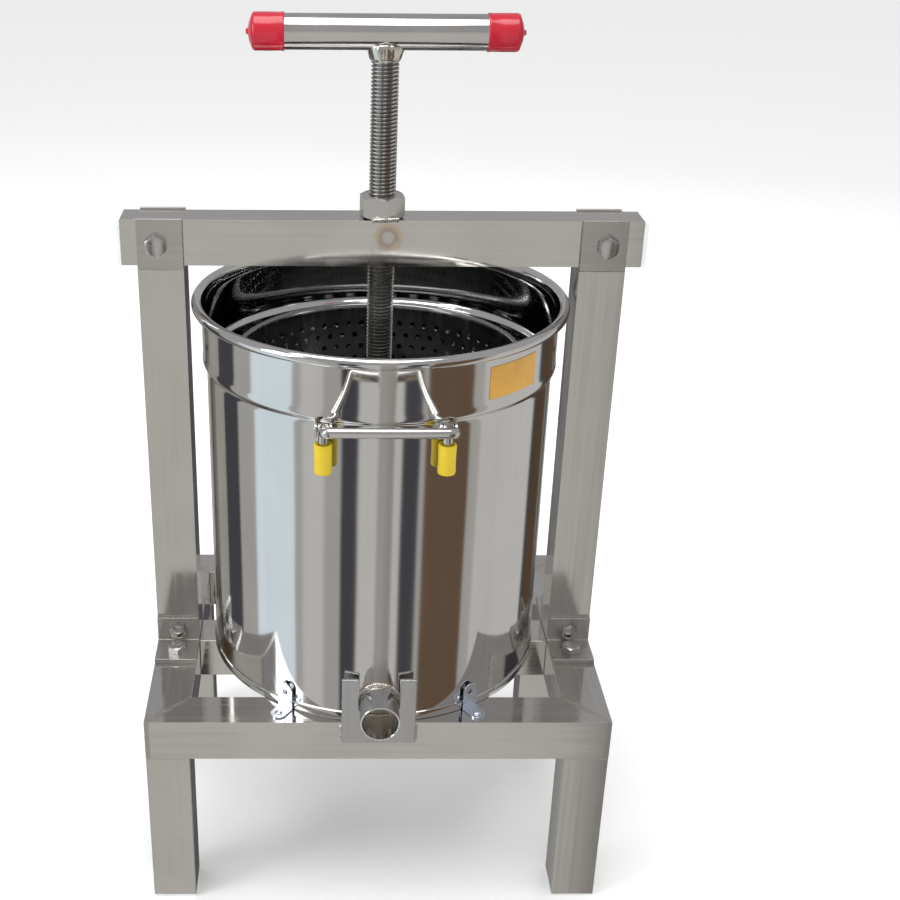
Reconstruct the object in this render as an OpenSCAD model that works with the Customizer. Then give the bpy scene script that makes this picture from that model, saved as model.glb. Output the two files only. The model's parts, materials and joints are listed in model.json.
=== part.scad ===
// Hand screw press for honeycomb and wax: a stainless barrel with a perforated
// basket stands in a square-tube frame, and a screw through the crossbeam
// drives a round plate down into the basket.
// Millimetres. X is the width, -Y the front with the outlet, Z is up.
// The origin lies on the ground, under the axis of the screw.

/* [Frame] */
// Side of the square tube of the base, legs and uprights
tube = 38; // [36:0.5:40]
// Wall thickness of every square tube
tube_wall = 1.5; // [1:0.25:2.5]
// Width of the base over its side rails
base_w = 400; // [390:1:420]
// Depth of the base over its front and rear rails
base_d = 298; // [298:1:320]
// Height of the base's top face
base_top = 192; // [170:1:220]
// Height of the crossbeam's top face
beam_top = 590; // [586:1:600]
// Depth of the crossbeam, which fits between the fork cheeks
beam_d = 32; // [30:0.5:33]
// Half the length of the crossbeam without its end caps
beam_half = 213; // [212:1:230]

/* [Barrel] */
// Outer radius of the barrel wall below the bead
barrel_r = 147; // [145:0.5:147]
// Outer radius of the barrel's neck above the bead
neck_r = 150; // [148:0.5:150]
// Thickness of the barrel sheet
sheet = 1.5; // [1:0.1:2]
// Height of the barrel's rim above the ground
rim_top = 523.5; // [515:0.5:526]
// Radius of the rolled wire edge of the rim
rim_roll = 4.5; // [3.5:0.5:5]
// Height of the swaged bead
bead_z = 471; // [465:1:480]
// Outer radius of the outlet pipe
outlet_r = 16.5; // [12:0.5:17]
// Height of the outlet's axis
outlet_z = 212; // [212:0.5:214]
// Distance from the screw's axis to the outlet's mouth
outlet_reach = 180; // [170:1:195]

/* [Basket] */
// Outer radius of the basket wall
basket_r = 119.5; // [116:0.5:122]
// Height of the top of the basket's floor
basket_floor = 224; // [220:1:230]
// Height of the basket's rim
basket_top = 475; // [465:1:490]

/* [Screw] */
// Major radius of the screw thread
screw_r = 11; // [10:0.5:12]
// Height of the handle bar's axis in the modelled position
bar_z = 734; // [725:1:745]
// Radius of the handle bar tube
bar_r = 13.5; // [12:0.5:15]
// Half the length of the handle bar over its caps
bar_half = 108.5; // [100:0.5:140]
// Radius of the press plate
plate_r = 113; // [105:0.5:114]
// Height of the underside of the press plate in the modelled position
plate_z = 369; // [365:1:380]

/* [Carrying handles] */
// Radius of the handle rod
rod_r = 4; // [3.5:0.5:4.5]
// Half the distance between the two arms of a handle
arm_x = 48; // [44:1:52]
// Height of the handle's pivot
pivot_z = 464; // [458:1:466]
// Distance of the grip from the screw's axis
grip_y = 204; // [200:1:208]
// Height of the grip at rest
grip_z = 485; // [480:1:490]

/* [Hidden] */

$fn = 96;
eps = 0.01;
front = -1;
rear = 1;
left = -1;
right = 1;

rail_x = base_w / 2 - tube / 2;
rail_y = base_d / 2 - tube / 2;
leg_top = base_top - tube;
plug_flange = 2;
plug_depth = 12;

fork_wall = (tube - beam_d) / 2;
fork_top = beam_top + 1.5;
beam_bottom = beam_top - tube;
upright_top = beam_bottom - fork_wall;
beam_bolt_x = 184;
beam_bolt_z = beam_top - 20;
end_cap = 3.5;

bracket_t = 4;
bracket_h = 27;
bracket_reach = 38;
bracket_bolt_z = base_top + 15;
bracket_face = tube / 2 + bracket_t;
foot_bolt_y = tube / 2 + 22;

// Hexagon widths across flats and head heights, by thread
m8_flats = 13;
m8_head = 5.3;
m8_nut = 6.5;
m10_flats = 16;
m10_head = 6.4;
m10_nut = 8;
bolt_play = 0.25;

screw_nut_flats = 34;
screw_nut_h = 18;
fit_play = 0.05;

saddle_w = 63;
saddle_t = 3;
saddle_top = base_top + 45;
saddle_bottom = base_top - 19;
saddle_play = 0.8;

clip_angle = 32;
clip_w = 14;
clip_t = 1.5;
clip_h = 25;
clip_foot = 19;
clip_rivet_r = 2;
clip_gap = 0.8;

seam_h = 8;
barrel_inner = barrel_r - sheet;
seam_r = barrel_r + sheet;
floor_z = base_top + 3;
wall_foot = base_top + sheet;
rim_bite = 0.5;
bore_overrun = 10;
floor_cut_h = 60;
ear_len = 25;
ear_cut = 20;
bead_form_r = 7;
bead_proud = 0.5;
bead_out = neck_r - barrel_r + bead_proud;
bead_half = sqrt(pow(bead_form_r, 2) - pow(bead_form_r - bead_out, 2));
label_t = 0.4;
label_z = bead_z + 8.5;
label_h = 27;
label_from = 32.5;
label_to = 53;

pivot_y = 148;
pin_r = 2.5;
knee_r = 6;
ear_t = 2;
ear_gap = 1.2;
sleeve_r = 7.2;
sleeve_top = pivot_z - 12;
sleeve_len = 24;
corner_play = 0.4;

basket_sheet = 1.5;
basket_roll = 3;
basket_foot_r = 8;
basket_foot_ring = 95;

plate_t = 6;
hub_r = 20;
hub_h = 22;
rib_t = 5;
rib_h = 16;
rib_end = 95;
rib_tip = 4;
journal_r = 8;
shoulder_z = plate_z + plate_t + hub_h + 0.3;
washer_t = 2.5;
washer_z = plate_z - 0.3 - washer_t;
core_bolt_r = 4;
core_bolt_depth = 22;

cap_t = 1;
cap_len = 30;
cap_cone = 3;
cap_nib = 2;
bar_wall = 2;
bar_end = bar_half - cap_cone - cap_nib;
weld_h = 12;
weld_r = 15;

// ---- Shared shapes ----

// Hexagonal prism standing on z = 0
module hex_prism(flats, h) {
    cylinder(d = flats / cos(30), h = h, $fn = 6);
}

// Rod from the origin along Y
module rod_y(r, length) {
    rotate([-90, 0, 0]) cylinder(r = r, h = length);
}

// Square tube centred on its own axis, open at both ends, from z0 to z1
module post(side, z0, z1) {
    translate([0, 0, z0])
        linear_extrude(z1 - z0)
            difference() {
                square(side, center = true);
                square(side - 2 * tube_wall, center = true);
            }
}

// Plan of a mitred rail of the given length along X, outer side towards -Y
module mitre_plan(length, inset) {
    outer = length / 2 - inset;
    inner = length / 2 - tube + inset;
    polygon([[-outer, inset], [outer, inset], [inner, tube - inset], [-inner, tube - inset]]);
}

// Mitred rail with its outer side on Y = 0 and its top on the base's top face
module mitred_rail(length) {
    difference() {
        translate([0, 0, leg_top]) linear_extrude(tube) mitre_plan(length, 0);
        translate([0, 0, leg_top + tube_wall])
            linear_extrude(tube - 2 * tube_wall)
                translate([0, tube_wall])
                    polygon([
                        [-length / 2, 0], [length / 2, 0],
                        [length / 2 - tube, tube - 2 * tube_wall],
                        [-length / 2 + tube, tube - 2 * tube_wall]
                    ]);
    }
}

module steel() { color("silver") children(); }
module bright_steel() { color("gainsboro") children(); }
module zinc() { color("lightsteelblue") children(); }

// ---- Base ----

module cross_tube_rail(side) {
    steel()
        difference() {
            rotate([0, 0, side == front ? 0 : 180]) translate([0, -base_d / 2, 0]) mitred_rail(base_w);
            if (side == front)
                for (s = [left, right]) at_clip(s) translate([0, clip_rivet_reach(), base_top - 5])
                    cylinder(r = clip_rivet_r, h = 10);
        }
}

module side_rail(side) {
    steel()
        difference() {
            rotate([0, 0, side == right ? 90 : -90]) translate([0, -base_w / 2, 0]) mitred_rail(base_d);
            for (s = [front, rear])
                translate([side * rail_x, s * foot_bolt_y, base_top - 5])
                    cylinder(r = 5 + bolt_play, h = 10);
        }
}

module front_rail() { cross_tube_rail(front); }
module rear_rail() { cross_tube_rail(rear); }
module left_rail() { side_rail(left); }
module right_rail() { side_rail(right); }

module cross_rail() {
    span = base_w - 2 * tube;
    steel()
        translate([-span / 2, 0, base_top - tube / 2]) rotate([0, 90, 0]) post(tube, 0, span);
}

module leg(x_side, y_side) {
    steel() translate([x_side * rail_x, y_side * rail_y, 0]) post(tube, plug_flange, leg_top);
}

module front_left_leg() { leg(left, front); }
module front_right_leg() { leg(right, front); }
module rear_left_leg() { leg(left, rear); }
module rear_right_leg() { leg(right, rear); }

module leg_plugs() {
    stub = tube - 2 * tube_wall;
    color("whitesmoke")
        for (x = [left, right], y = [front, rear])
            translate([x * rail_x, y * rail_y, 0]) {
                translate([-tube / 2, -tube / 2, 0]) cube([tube, tube, plug_flange]);
                translate([-stub / 2, -stub / 2, plug_flange - eps]) cube([stub, stub, plug_depth]);
            }
}

// ---- Uprights and their brackets ----

module upright(side) {
    steel()
        difference() {
            translate([side * rail_x, 0, 0]) post(tube, base_top, upright_top);
            translate([side * rail_x, -tube, bracket_bolt_z]) rod_y(4 + bolt_play, 2 * tube);
        }
}

module left_upright() { upright(left); }
module right_upright() { upright(right); }

// Angle bracket against the front or rear face of an upright
module angle_bracket(x_side, y_side) {
    steel()
        translate([x_side * rail_x, 0, 0])
            rotate([0, 0, y_side == front ? 0 : 180])
                difference() {
                    union() {
                        translate([-tube / 2, -tube / 2 - bracket_t, base_top])
                            cube([tube, bracket_t, bracket_h]);
                        translate([-tube / 2, -tube / 2 - bracket_reach, base_top])
                            cube([tube, bracket_reach, bracket_t]);
                    }
                    translate([0, -tube, bracket_bolt_z]) rod_y(4 + bolt_play, tube);
                    translate([0, -foot_bolt_y, base_top - 1]) cylinder(r = 5 + bolt_play, h = 10);
                }
}

module left_front_bracket() { angle_bracket(left, front); }
module right_front_bracket() { angle_bracket(right, front); }
module left_rear_bracket() { angle_bracket(left, rear); }
module right_rear_bracket() { angle_bracket(right, rear); }

// Hexagon bolt along +Y with the underside of its head on Y = 0
module bolt_y(r, flats, head, length) {
    rotate([90, 0, 0]) hex_prism(flats, head);
    translate([0, -eps, 0]) rod_y(r, length);
}

// Nut around a bolt along +Y, from Y = 0
module nut_y(r, flats, h) {
    rotate([-90, 0, 0])
        difference() {
            hex_prism(flats, h);
            translate([0, 0, -1]) cylinder(r = r, h = h + 2);
        }
}

module bracket_bolts() {
    bright_steel()
        for (s = [left, right])
            translate([s * rail_x, -bracket_face, bracket_bolt_z])
                bolt_y(4, m8_flats, m8_head, 2 * bracket_face + m8_nut + 2);
}

module bracket_nuts() {
    bright_steel()
        for (s = [left, right])
            translate([s * rail_x, bracket_face, bracket_bolt_z]) nut_y(4, m8_flats, m8_nut);
}

module foot_bolts() {
    bright_steel()
        for (x = [left, right], y = [front, rear])
            translate([x * rail_x, y * foot_bolt_y, base_top + bracket_t]) {
                hex_prism(m10_flats, m10_head);
                translate([0, 0, -16]) cylinder(r = 5, h = 16 + eps);
            }
}

module rail_nuts() {
    steel()
        for (x = [left, right], y = [front, rear])
            translate([x * rail_x, y * foot_bolt_y, base_top - tube_wall - m10_nut])
                difference() {
                    hex_prism(m10_flats, m10_nut);
                    translate([0, 0, -1]) cylinder(r = 5, h = m10_nut + 2);
                }
}

// ---- Crossbeam ----

// Channel on top of an upright that takes the end of the crossbeam
module fork(side) {
    steel()
        difference() {
            translate([side * rail_x - tube / 2, -tube / 2, upright_top])
                cube([tube, tube, fork_top - upright_top]);
            translate([side * rail_x - tube, -beam_d / 2, beam_bottom])
                cube([2 * tube, beam_d, tube * 2]);
            translate([side * beam_bolt_x, -tube, beam_bolt_z]) rod_y(5 + bolt_play, 2 * tube);
        }
}

module left_fork() { fork(left); }
module right_fork() { fork(right); }

module crossbeam() {
    inner_h = tube - 2 * tube_wall;
    inner_d = beam_d - 2 * tube_wall;
    steel()
        difference() {
            translate([-beam_half, -beam_d / 2, beam_bottom]) cube([2 * beam_half, beam_d, tube]);
            translate([-beam_half - 1, -inner_d / 2, beam_bottom + tube_wall])
                cube([2 * beam_half + 2, inner_d, inner_h]);
            for (s = [left, right])
                translate([s * beam_bolt_x, -tube, beam_bolt_z]) rod_y(5 + bolt_play, 2 * tube);
            translate([0, 0, beam_bottom - 1]) cylinder(r = screw_r + 0.5, h = tube + 2);
        }
}

module beam_end_caps() {
    stub_h = tube - 2 * tube_wall;
    stub_d = beam_d - 2 * tube_wall;
    color("whitesmoke")
        for (s = [left, right])
            rotate([0, 0, s == right ? 0 : 180])
                translate([beam_half, 0, beam_bottom]) {
                    translate([0, -beam_d / 2, 0]) cube([end_cap, beam_d, tube]);
                    translate([-plug_depth, -stub_d / 2, tube_wall])
                        cube([plug_depth + eps, stub_d, stub_h]);
                }
}

module beam_bolts() {
    bright_steel()
        for (s = [left, right])
            translate([s * beam_bolt_x, -tube / 2, beam_bolt_z])
                bolt_y(5, m10_flats, m10_head, tube + m10_nut + 3);
}

module beam_nuts() {
    bright_steel()
        for (s = [left, right])
            translate([s * beam_bolt_x, tube / 2, beam_bolt_z]) nut_y(5, m10_flats, m10_nut);
}

module screw_nut() {
    bright_steel()
        translate([0, 0, beam_top])
            difference() {
                rotate([0, 0, 8]) hex_prism(screw_nut_flats, screw_nut_h);
                translate([0, 0, -1]) cylinder(r = screw_r + fit_play, h = screw_nut_h + 2);
            }
}

// ---- Outlet saddle and barrel clips ----

module outlet_saddle() {
    slot_r = outlet_r + saddle_play;
    steel()
        translate([0, -base_d / 2, 0])
            difference() {
                translate([-saddle_w / 2, -saddle_t, saddle_bottom])
                    cube([saddle_w, saddle_t, saddle_top - saddle_bottom]);
                translate([0, -saddle_t - 1, outlet_z]) rod_y(slot_r, saddle_t + 2);
                translate([-slot_r, -saddle_t - 1, outlet_z])
                    cube([2 * slot_r, saddle_t + 2, saddle_top]);
            }
}

// Turns and places children whose +Y runs outwards through a clip
module at_clip(side) {
    rotate([0, 0, 180 + side * clip_angle]) children();
}

function clip_rivet_reach() = seam_r + clip_gap + clip_foot - clip_w / 2;

module clip(side) {
    inner = seam_r + clip_gap;
    zinc()
        at_clip(side)
            difference() {
                union() {
                    translate([-clip_w / 2, inner, base_top])
                        cube([clip_w, clip_t, clip_h - clip_w / 2]);
                    translate([0, inner, base_top + clip_h - clip_w / 2]) rod_y(clip_w / 2, clip_t);
                    translate([-clip_w / 2, inner, base_top])
                        cube([clip_w, clip_foot - clip_w / 2, clip_t]);
                    translate([0, clip_rivet_reach(), base_top]) cylinder(d = clip_w, h = clip_t);
                }
                translate([0, inner - 1, base_top + clip_h - clip_w / 2 - 1]) rod_y(2.5, clip_t + 2);
                translate([0, clip_rivet_reach(), base_top - 1]) cylinder(r = clip_rivet_r, h = 5);
            }
}

module left_clip() { clip(left); }
module right_clip() { clip(right); }

module clip_rivets() {
    bright_steel()
        for (s = [left, right])
            at_clip(s) translate([0, clip_rivet_reach(), 0]) {
                translate([0, 0, base_top - 4]) cylinder(r = clip_rivet_r, h = 4 + clip_t + eps);
                translate([0, 0, base_top + clip_t]) cylinder(r = 3.6, h = 1.8);
            }
}

// ---- Barrel ----

// Bore of the outlet from its mouth to just inside the barrel wall
module outlet_bore(r) {
    translate([0, -outlet_reach - 1, outlet_z]) rod_y(r, outlet_reach + bore_overrun + 1 - barrel_inner);
}

module barrel_wall() {
    bright_steel()
        difference() {
            rotate_extrude()
                union() {
                    translate([barrel_inner, wall_foot]) square([sheet, bead_z - wall_foot]);
                    translate([neck_r - sheet, bead_z]) square([sheet, rim_top - rim_roll - bead_z]);
                    translate([neck_r + rim_roll - rim_bite, rim_top - rim_roll]) circle(r = rim_roll);
                    intersection() {
                        translate([barrel_r + bead_out - bead_form_r, bead_z]) circle(r = bead_form_r);
                        translate([barrel_r - sheet / 2, bead_z - bead_form_r])
                            square([bead_form_r, 2 * bead_form_r]);
                    }
                }
            outlet_bore(outlet_r);
        }
}

// Bottom pan with its edge folded round the foot of the wall
module barrel_floor() {
    bright_steel()
        difference() {
            rotate_extrude()
                union() {
                    translate([0, floor_z]) square([barrel_inner, sheet]);
                    translate([barrel_inner - sheet, base_top]) square([sheet, floor_z + sheet - base_top]);
                    translate([barrel_inner - sheet, base_top]) square([3 * sheet, sheet]);
                    translate([barrel_r, base_top]) square([sheet, seam_h]);
                }
            difference() {
                outlet_bore(outlet_r);
                translate([0, 0, base_top - 1]) cylinder(r = barrel_inner, h = floor_cut_h);
            }
        }
}

module outlet_pipe() {
    bright_steel()
        difference() {
            translate([0, -outlet_reach, outlet_z])
                rod_y(outlet_r, outlet_reach + bore_overrun - barrel_inner);
            outlet_bore(outlet_r - sheet);
            translate([0, 0, base_top - 1]) cylinder(r = barrel_inner, h = floor_cut_h);
        }
}

module barrel_label() {
    color("orange")
        translate([0, 0, label_z])
            rotate([0, 0, label_from - 90])
                rotate_extrude(angle = label_to - label_from)
                    translate([neck_r, 0]) square([label_t, label_h]);
}

// ---- Carrying handles ----

// The shapes below are drawn for the front handle and turned half round for the rear one
module for_side(side) {
    rotate([0, 0, side == front ? 0 : 180]) children();
}

module handle_ears(side) {
    half_gap = knee_r - ear_gap;
    bright_steel()
        for_side(side)
            for (x = [-arm_x, arm_x], cheek = [-half_gap - ear_t, half_gap])
                difference() {
                    translate([x + cheek, 0, pivot_z])
                        rotate([90, 0, 90])
                            linear_extrude(ear_t)
                                union() {
                                    translate([-pivot_y, 0]) circle(r = knee_r);
                                    translate([-pivot_y, -knee_r]) square([ear_len, 2 * knee_r]);
                                }
                    translate([0, 0, pivot_z - ear_cut]) cylinder(r = barrel_r, h = 2 * ear_cut);
                    translate([0, 0, bead_z - bead_half]) cylinder(r = neck_r + bead_proud, h = ear_cut);
                    translate([x - ear_cut, -pivot_y, pivot_z])
                        rotate([0, 90, 0]) cylinder(r = pin_r, h = 2 * ear_cut);
                }
}

module handle_pins(side) {
    pin_half = knee_r - ear_gap + ear_t + 1;
    zinc()
        for_side(side)
            for (x = [-arm_x, arm_x])
                translate([x - pin_half, -pivot_y, pivot_z])
                    rotate([0, 90, 0]) cylinder(r = pin_r, h = 2 * pin_half);
}

// One rod bent into two arms, a grip and two stub ends that point down
module bail(side) {
    dy = grip_y - pivot_y;
    dz = grip_z - pivot_z;
    arm = sqrt(dy * dy + dz * dz);
    eye = knee_r - ear_gap - 0.5;
    stub_foot = sleeve_top - sleeve_len;
    bright_steel()
        for_side(side)
            difference() {
                union() {
                    for (x = [-arm_x, arm_x]) {
                        translate([x, -pivot_y, stub_foot])
                            cylinder(r = rod_r, h = pivot_z - stub_foot);
                        translate([x - eye, -pivot_y, pivot_z])
                            rotate([0, 90, 0]) cylinder(r = knee_r - 1, h = 2 * eye);
                        translate([x, -pivot_y, pivot_z])
                            rotate([90 - atan2(dz, dy), 0, 0]) cylinder(r = rod_r, h = arm);
                        translate([x - rod_r - corner_play, -grip_y, grip_z])
                            rotate([0, 90, 0])
                                cylinder(r = rod_r + corner_play, h = 2 * (rod_r + corner_play));
                    }
                    translate([-arm_x, -grip_y, grip_z])
                        rotate([0, 90, 0]) cylinder(r = rod_r, h = 2 * arm_x);
                }
                translate([-arm_x - 20, -pivot_y, pivot_z])
                    rotate([0, 90, 0]) cylinder(r = pin_r + fit_play, h = 2 * arm_x + 40);
            }
}

module sleeves(side) {
    color("gold")
        for_side(side)
            for (x = [-arm_x, arm_x])
                translate([x, -pivot_y, sleeve_top - sleeve_len])
                    difference() {
                        translate([0, 0, -cap_t]) cylinder(r = sleeve_r, h = sleeve_len + cap_t);
                        cylinder(r = rod_r, h = sleeve_len + 1);
                    }
}

module front_ears() { handle_ears(front); }
module rear_ears() { handle_ears(rear); }
module front_handle_pins() { handle_pins(front); }
module rear_handle_pins() { handle_pins(rear); }
module front_handle() { bail(front); }
module rear_handle() { bail(rear); }
module front_sleeves() { sleeves(front); }
module rear_sleeves() { sleeves(rear); }

// ---- Basket ----

module basket_shell() {
    bright_steel()
        rotate_extrude()
            union() {
                translate([0, basket_floor - basket_sheet]) square([basket_r, basket_sheet]);
                translate([basket_r - basket_sheet, basket_floor - basket_sheet])
                    square([basket_sheet, basket_top - basket_roll - basket_floor + basket_sheet]);
                translate([basket_r + basket_roll - basket_sheet, basket_top - basket_roll])
                    circle(r = basket_roll);
            }
}

module basket_feet() {
    foot_z = floor_z + sheet;
    bright_steel()
        for (turn = [45:90:315])
            rotate([0, 0, turn]) translate([basket_foot_ring, 0, foot_z])
                cylinder(r = basket_foot_r, h = basket_floor - basket_sheet - foot_z);
}

// ---- Press plate ----

module press_plate() {
    steel()
        translate([0, 0, plate_z])
            difference() {
                cylinder(r = plate_r, h = plate_t);
                translate([0, 0, -1]) cylinder(r = journal_r + fit_play, h = plate_t + 2);
            }
}

module plate_hub() {
    steel()
        translate([0, 0, plate_z + plate_t])
            difference() {
                cylinder(r = hub_r, h = hub_h);
                translate([0, 0, -1]) cylinder(r = journal_r + fit_play, h = hub_h + 2);
            }
}

module plate_ribs() {
    steel()
        translate([0, 0, plate_z + plate_t])
            for (turn = [45:90:315])
                rotate([0, 0, turn])
                    difference() {
                        rotate([90, 0, 0])
                            translate([0, 0, -rib_t / 2])
                                linear_extrude(rib_t)
                                    polygon([
                                        [hub_r - 2, 0], [rib_end, 0],
                                        [rib_end, rib_tip], [hub_r - 2, rib_h]
                                    ]);
                        translate([0, 0, -1]) cylinder(r = hub_r, h = hub_h + 2);
                    }
}

// ---- Screw and handle bar ----

module bar_cutter() {
    translate([-bar_half, 0, bar_z]) rotate([0, 90, 0]) cylinder(r = bar_r, h = 2 * bar_half);
}

module screw() {
    bright_steel()
        difference() {
            union() {
                translate([0, 0, shoulder_z]) cylinder(r = screw_r, h = bar_z - shoulder_z);
                translate([0, 0, washer_z + washer_t]) cylinder(r = journal_r, h = shoulder_z - washer_z);
            }
            bar_cutter();
            translate([0, 0, washer_z]) cylinder(r = core_bolt_r, h = core_bolt_depth);
        }
}

module handle_bar() {
    bright_steel()
        translate([-bar_end, 0, bar_z])
            rotate([0, 90, 0])
                difference() {
                    cylinder(r = bar_r, h = 2 * bar_end);
                    translate([0, 0, -1]) cylinder(r = bar_r - bar_wall, h = 2 * bar_end + 2);
                }
}

module bar_weld() {
    bright_steel()
        difference() {
            translate([0, 0, bar_z - bar_r - weld_h + 4])
                rotate_extrude()
                    polygon([
                        [screw_r, 0], [screw_r + 1.5, 0], [weld_r, weld_h * 0.6],
                        [weld_r, weld_h], [screw_r, weld_h]
                    ]);
            bar_cutter();
        }
}

// Soft cap pushed over an end of the handle bar, with a shallow cone and a moulding nib
module grip_cap(side) {
    skirt = cap_len - cap_cone - cap_nib;
    color("crimson")
        translate([0, 0, bar_z])
            rotate([0, side * 90, 0])
                difference() {
                    translate([0, 0, bar_half - cap_len])
                        rotate_extrude()
                            polygon([
                                [0, 0], [bar_r + cap_t, 0], [bar_r + cap_t, skirt],
                                [bar_r - 1, skirt + cap_cone], [2, skirt + cap_cone + 0.8],
                                [2, cap_len], [0, cap_len]
                            ]);
                    translate([0, 0, bar_half - cap_len - 1])
                        cylinder(r = bar_r, h = skirt + 1);
                }
}

module left_cap() { grip_cap(left); }
module right_cap() { grip_cap(right); }

module retaining_washer() {
    zinc()
        translate([0, 0, washer_z])
            difference() {
                cylinder(r = hub_r - 5, h = washer_t);
                translate([0, 0, -1]) cylinder(r = core_bolt_r, h = washer_t + 2);
            }
}

module retaining_bolt() {
    zinc()
        translate([0, 0, washer_z]) {
            translate([0, 0, -m8_head]) hex_prism(m8_flats, m8_head);
            translate([0, 0, -eps]) cylinder(r = core_bolt_r, h = core_bolt_depth);
        }
}

front_rail();
rear_rail();
left_rail();
right_rail();
cross_rail();
front_left_leg();
front_right_leg();
rear_left_leg();
rear_right_leg();
leg_plugs();
left_upright();
right_upright();
left_front_bracket();
right_front_bracket();
left_rear_bracket();
right_rear_bracket();
bracket_bolts();
bracket_nuts();
foot_bolts();
rail_nuts();
left_fork();
right_fork();
crossbeam();
beam_end_caps();
beam_bolts();
beam_nuts();
screw_nut();
outlet_saddle();
left_clip();
right_clip();
clip_rivets();
barrel_wall();
barrel_floor();
outlet_pipe();
barrel_label();
front_ears();
rear_ears();
front_handle_pins();
rear_handle_pins();
front_handle();
front_sleeves();
rear_handle();
rear_sleeves();
basket_shell();
basket_feet();
press_plate();
plate_ribs();
plate_hub();
screw();
handle_bar();
bar_weld();
left_cap();
right_cap();
retaining_washer();
retaining_bolt();
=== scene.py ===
import json
import math

import bmesh
import bpy
from mathutils import Matrix, Vector, noise


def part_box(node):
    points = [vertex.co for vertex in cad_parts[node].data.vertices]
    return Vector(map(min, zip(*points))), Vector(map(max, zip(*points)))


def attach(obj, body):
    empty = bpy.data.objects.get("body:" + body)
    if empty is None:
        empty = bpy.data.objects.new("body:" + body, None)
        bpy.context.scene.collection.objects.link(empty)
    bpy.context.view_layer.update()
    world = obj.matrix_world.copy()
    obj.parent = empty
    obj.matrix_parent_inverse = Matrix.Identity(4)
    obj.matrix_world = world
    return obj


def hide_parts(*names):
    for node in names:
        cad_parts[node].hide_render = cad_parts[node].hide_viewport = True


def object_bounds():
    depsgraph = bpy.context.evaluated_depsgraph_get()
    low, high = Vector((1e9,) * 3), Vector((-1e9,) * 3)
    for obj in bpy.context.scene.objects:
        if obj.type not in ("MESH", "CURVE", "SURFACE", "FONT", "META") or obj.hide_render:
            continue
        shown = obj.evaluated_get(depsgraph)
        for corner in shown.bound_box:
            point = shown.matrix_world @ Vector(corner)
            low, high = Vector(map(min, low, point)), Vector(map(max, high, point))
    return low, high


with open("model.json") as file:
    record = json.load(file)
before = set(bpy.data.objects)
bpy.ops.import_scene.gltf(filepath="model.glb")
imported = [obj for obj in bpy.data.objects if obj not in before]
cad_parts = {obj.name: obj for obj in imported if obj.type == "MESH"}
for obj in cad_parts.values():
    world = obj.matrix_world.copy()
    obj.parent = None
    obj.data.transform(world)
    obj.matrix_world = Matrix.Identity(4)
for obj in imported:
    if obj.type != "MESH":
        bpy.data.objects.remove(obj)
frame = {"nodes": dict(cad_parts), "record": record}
cad_lo, cad_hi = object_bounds()

MM = 0.001
TAU = 2 * math.pi
POLE = 1e-7


# ---- Mesh helpers -------------------------------------------------------------------------

class Shape:
    """Vertices and faces gathered from several solids into one piece."""

    def __init__(self):
        self.verts = []
        self.faces = []

    def add(self, made, place=None):
        verts, faces = made
        base = len(self.verts)
        self.verts += [place @ Vector(v) if place else Vector(v) for v in verts]
        self.faces += [tuple(i + base for i in f) for f in faces]
        return self


def move(x=0.0, y=0.0, z=0.0):
    return Matrix.Translation((x, y, z))


def turn(degrees, axis="Z"):
    return Matrix.Rotation(math.radians(degrees), 4, axis)


def arc(cx, cy, r, start, end, steps):
    """Points on a circle arc in a plane, angles in degrees, both ends included."""
    angles = [math.radians(start + (end - start) * i / steps) for i in range(steps + 1)]
    return [(cx + r * math.cos(a), cy + r * math.sin(a)) for a in angles]


def skin(rows, closed=False):
    """Faces between rows of vertex numbers. Where a row is a pole, they are triangles."""
    faces = []
    for low, high in zip(rows, rows[1:] + rows[:1] if closed else rows[1:]):
        for i in range(len(low)):
            j = (i + 1) % len(low)
            corners = []
            for v in (low[i], low[j], high[j], high[i]):
                if v not in corners:
                    corners.append(v)
            if len(corners) > 2:
                faces.append(tuple(corners))
    return faces


def loft(rings, closed=False):
    """A skin over rings of points, which all have the same number of points."""
    count = len(rings[0])
    rows = [range(k * count, (k + 1) * count) for k in range(len(rings))]
    return [point for ring in rings for point in ring], skin(rows, closed)


def lathe(profile, steps=96, closed=False, warp=None):
    """Revolves (radius, height) pairs round Z. A radius of 0 becomes a pole.

    A function of the angle may stand for a pair. warp moves each point that is not a pole."""
    verts, rows = [], []
    for pair in profile:
        at = pair if callable(pair) else None
        r, z = at(0.0) if at else pair
        if r < POLE:
            rows.append([len(verts)] * steps)
            verts.append(Vector((0, 0, z)))
            continue
        row = []
        for i in range(steps):
            a = TAU * i / steps
            if at:
                r, z = at(a)
            rr, zz = warp(r, z, a) if warp else (r, z)
            row.append(len(verts))
            verts.append(Vector((rr * math.cos(a), rr * math.sin(a), zz)))
        rows.append(row)
    return verts, skin(rows, closed)


def fillet(points, radius, steps=8):
    """A polyline with its inner corners rounded to the given radius.

    One bend takes at most a share of the lengths on either side of it."""
    most = 0.49
    pts = [Vector(p) for p in points]
    path = [pts[0]]
    for before, corner, after in zip(pts, pts[1:], pts[2:]):
        a, b = (before - corner).normalized(), (after - corner).normalized()
        half = a.angle(b) / 2
        reach = min(radius / math.tan(half), (before - corner).length * most,
                    (after - corner).length * most)
        bend = reach * math.tan(half)
        centre = corner + (a + b).normalized() * (bend / math.sin(half))
        start, end = corner + a * reach - centre, corner + b * reach - centre
        sweep_angle = start.angle(end)
        for i in range(steps + 1):
            t = i / steps
            mixed = (start * math.sin((1 - t) * sweep_angle) + end * math.sin(t * sweep_angle))
            path.append(centre + mixed / math.sin(sweep_angle))
    path.append(pts[-1])
    return path


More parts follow.
